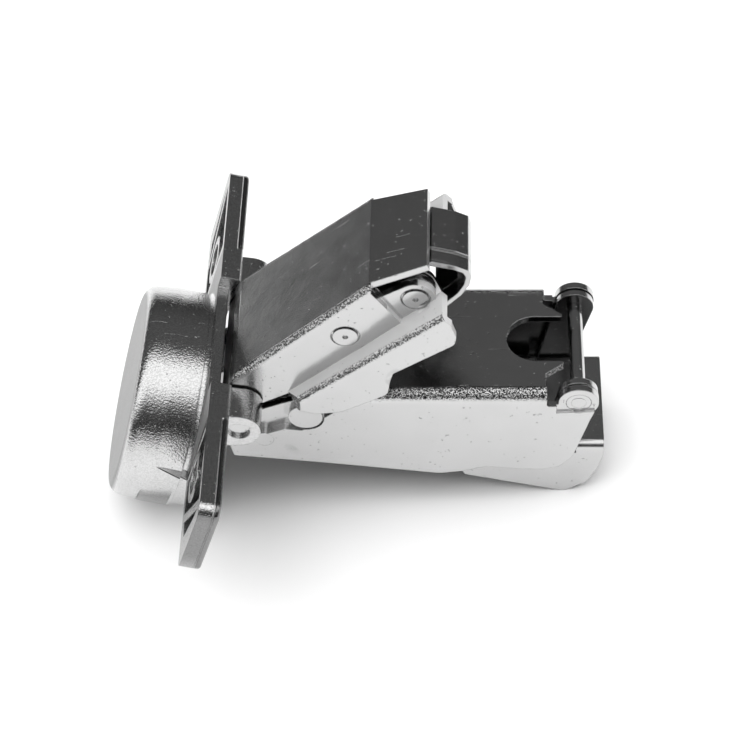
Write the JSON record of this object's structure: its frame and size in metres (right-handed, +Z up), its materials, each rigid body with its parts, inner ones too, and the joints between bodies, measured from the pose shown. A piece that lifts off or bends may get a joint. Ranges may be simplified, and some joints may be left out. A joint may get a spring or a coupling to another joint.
{
  "type": "concealed cup hinge",
  "caption": "Concealed furniture hinge, wide-angle clip-on type: folded arm with a release lever, crossed levers and links, round cup with a screw flange.",
  "frame": {"origin": "centre of the bounding box's base, on the surface it lies on", "axes": "+X along the arm to its rear, +Y across the hinge, +Z up through the arm's web"},
  "size_m": [0.0818, 0.0708, 0.0537],
  "materials": {
    "plated_sheet": "satin nickel plate",
    "plated_pin": "satin nickel plate",
    "spring_steel": "satin",
    "plated_casting": "nickel-plated die casting"
  },
  "bodies": {
    "arm": {"arm": "plated_sheet", "rear_pin": "plated_pin", "inner_lever_axle": "plated_pin", "axle_bushes": "plated_pin", "link_pivot_rivets": "plated_pin", "release_spring": "spring_steel"},
    "release_lever": {"release_lever": "plated_sheet"},
    "inner_lever": {"inner_lever": "plated_sheet", "lever_eye_pin": "plated_pin"},
    "outer_lever": {"outer_lever": "plated_sheet", "nose_bracket": "plated_sheet", "cross_rivets": "plated_pin", "cross_bushes": "plated_pin", "link_top_rivets": "plated_pin"},
    "arm_link": {"arm_link": "plated_sheet"},
    "cup_link": {"cup_link": "plated_sheet"},
    "cup": {"cup": "plated_casting", "knuckle_pins": "plated_pin", "knuckle_washers": "plated_pin", "cup_eye_pin": "plated_pin", "closing_spring": "spring_steel"}
  },
  "joints": [
    {"name": "inner_lever_on_arm", "type": "hinge", "parent": "arm", "child": "inner_lever", "pos_m": [-0.0122, 0, 0.01975], "axis": [0, -1, 0], "range_deg": [0, 128], "stiffness_Nm_per_rad": 0.08, "springref_deg": -57.3},
    {"name": "outer_lever_on_inner_lever", "type": "hinge", "parent": "inner_lever", "child": "outer_lever", "pos_m": [0.0033, 0, 0.04129], "axis": [0, -1, 0], "range_deg": [-92.16, 0]},
    {"name": "cup_on_outer_lever", "type": "hinge", "parent": "outer_lever", "child": "cup", "pos_m": [-0.01459, 0, 0.02829], "axis": [0, -1, 0], "range_deg": [0, 117.76]},
    {"name": "arm_link_on_outer_lever", "type": "hinge", "parent": "outer_lever", "child": "arm_link", "pos_m": [0.01446, 0, 0.04724], "axis": [0, -1, 0], "range_deg": [0, 84.1]},
    {"name": "cup_link_on_inner_lever", "type": "hinge", "parent": "inner_lever", "child": "cup_link", "pos_m": [-0.0041, 0, 0.03395], "axis": [0, -1, 0], "range_deg": [-94.08, 0]},
    {"name": "release_lever_on_arm", "type": "hinge", "parent": "arm", "child": "release_lever", "pos_m": [0.03734, 0, 0.02408], "axis": [0, 1, 0], "range_deg": [0, 12], "stiffness_Nm_per_rad": 0.05, "springref_deg": -17.19, "deforming": ["release_spring"]}
  ],
  "couplings": [
    {"joint": "outer_lever_on_inner_lever", "follows": "inner_lever_on_arm", "ratio": -0.72},
    {"joint": "cup_on_outer_lever", "follows": "inner_lever_on_arm", "ratio": 0.92},
    {"joint": "arm_link_on_outer_lever", "follows": "inner_lever_on_arm", "ratio": 0.657},
    {"joint": "cup_link_on_inner_lever", "follows": "inner_lever_on_arm", "ratio": -0.735}
  ]
}
